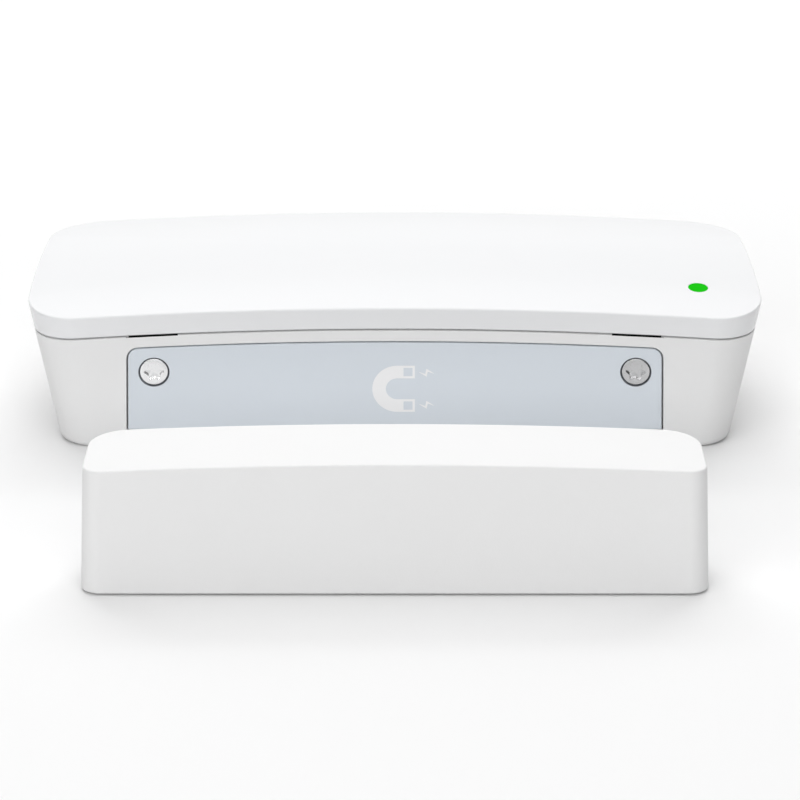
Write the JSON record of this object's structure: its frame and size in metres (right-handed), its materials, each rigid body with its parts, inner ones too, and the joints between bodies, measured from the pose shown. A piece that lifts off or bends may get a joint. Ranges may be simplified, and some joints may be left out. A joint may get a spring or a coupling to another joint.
{
  "type": "door contact sensor",
  "caption": "Wireless door contact: an arched white sensor unit with a blue-grey front plate, status light and press-on cover, and a separate magnet unit.",
  "frame": {"origin": "middle of the sensor unit's mounting face", "axes": "+X along the sensor unit towards its status light, -Y towards the magnet unit, +Z out of the mounting face towards the cover"},
  "size_m": [0.1104, 0.0963, 0.0241],
  "materials": {
    "housing_white": "fine-textured white plastic",
    "cover_white": "semi-gloss white plastic",
    "light_green": "clear green light pipe",
    "plate_blue_grey": "smooth blue-grey plastic",
    "screw_nickel": "nickel plated",
    "symbol_light_grey": "matt print",
    "board_green": "green solder mask",
    "screw_zinc": "zinc plated",
    "reed_glass": "green tinted glass",
    "reed_metal": "nickel iron",
    "chip_black": "matt epoxy",
    "capacitor_tan": "ceramic",
    "can_steel": "tin plated",
    "antenna_gold": "gold plated wire",
    "led_ivory": "clear epoxy",
    "switch_dark": "black plastic",
    "button_white": "white plastic",
    "plunger_red": "red plastic",
    "cell_metal": "bright nickel",
    "cell_wrap": "blue film",
    "contact_metal": "nickel plated spring steel",
    "pad_foam": "foam adhesive tape",
    "magnet_grey": "sintered magnet",
    "foam_dark": "open-cell foam"
  },
  "bodies": {
    "sensor": {"base_housing": "housing_white", "front_plate": "plate_blue_grey", "plate_screws": "screw_nickel", "magnet_symbol": "symbol_light_grey", "circuit_board": "board_green", "board_screws": "screw_zinc", "reed_glass": "reed_glass", "reed_lead_fixed": "reed_metal", "reed_lead_free": "reed_metal", "controller_chip": "chip_black", "chip_capacitors": "capacitor_tan", "crystal": "can_steel", "radio_shield": "can_steel", "antenna": "antenna_gold", "status_led": "led_ivory", "pair_button_body": "switch_dark", "tamper_body": "switch_dark", "battery_cell": "cell_metal", "battery_wrap": "cell_wrap", "battery_contact": "contact_metal", "battery_spring_plate": "contact_metal", "battery_spring": "contact_metal", "sensor_pads": "pad_foam"},
    "cover": {"top_cover": "cover_white", "light_pipe": "light_green"},
    "reed": {"reed_blade": "reed_metal"},
    "pair_button": {"pair_button_cap": "button_white"},
    "tamper": {"tamper_plunger": "plunger_red"},
    "magnet_foot": {"magnet_base": "housing_white", "magnet_pads": "pad_foam"},
    "magnet_cap": {"magnet_housing": "cover_white", "bar_magnet": "magnet_grey", "magnet_foam": "foam_dark"}
  },
  "joints": [
    {"name": "door_slide", "type": "slide", "parent": "sensor", "child": "magnet_foot", "axis": [0, 1, 0], "range_m": [-0.02, 0.0363]},
    {"name": "cover_lift", "type": "slide", "parent": "sensor", "child": "cover", "axis": [0, 0, 1], "range_m": [0, 0.03]},
    {"name": "magnet_cap_lift", "type": "slide", "parent": "magnet_foot", "child": "magnet_cap", "axis": [0, 0, 1], "range_m": [0, 0.03]},
    {"name": "pair_press", "type": "slide", "parent": "sensor", "child": "pair_button", "axis": [0, 0, -1], "range_m": [0, 0.00025], "stiffness_N_per_m": 1500, "springref_m": -0.0002},
    {"name": "tamper_rise", "type": "slide", "parent": "sensor", "child": "tamper", "axis": [0, 0, 1], "range_m": [0, 0.001]},
    {"name": "reed_close", "type": "hinge", "parent": "sensor", "child": "reed", "pos_m": [0.0046, -0.0102, 0.0075], "axis": [0, -1, 0], "range_deg": [-0.9, 1.6]}
  ],
  "couplings": [
    {"joint": "tamper_rise", "follows": "cover_lift", "ratio": 0.0333},
    {"joint": "reed_close", "follows": "door_slide", "rad_per_m": 0.7212}
  ]
}
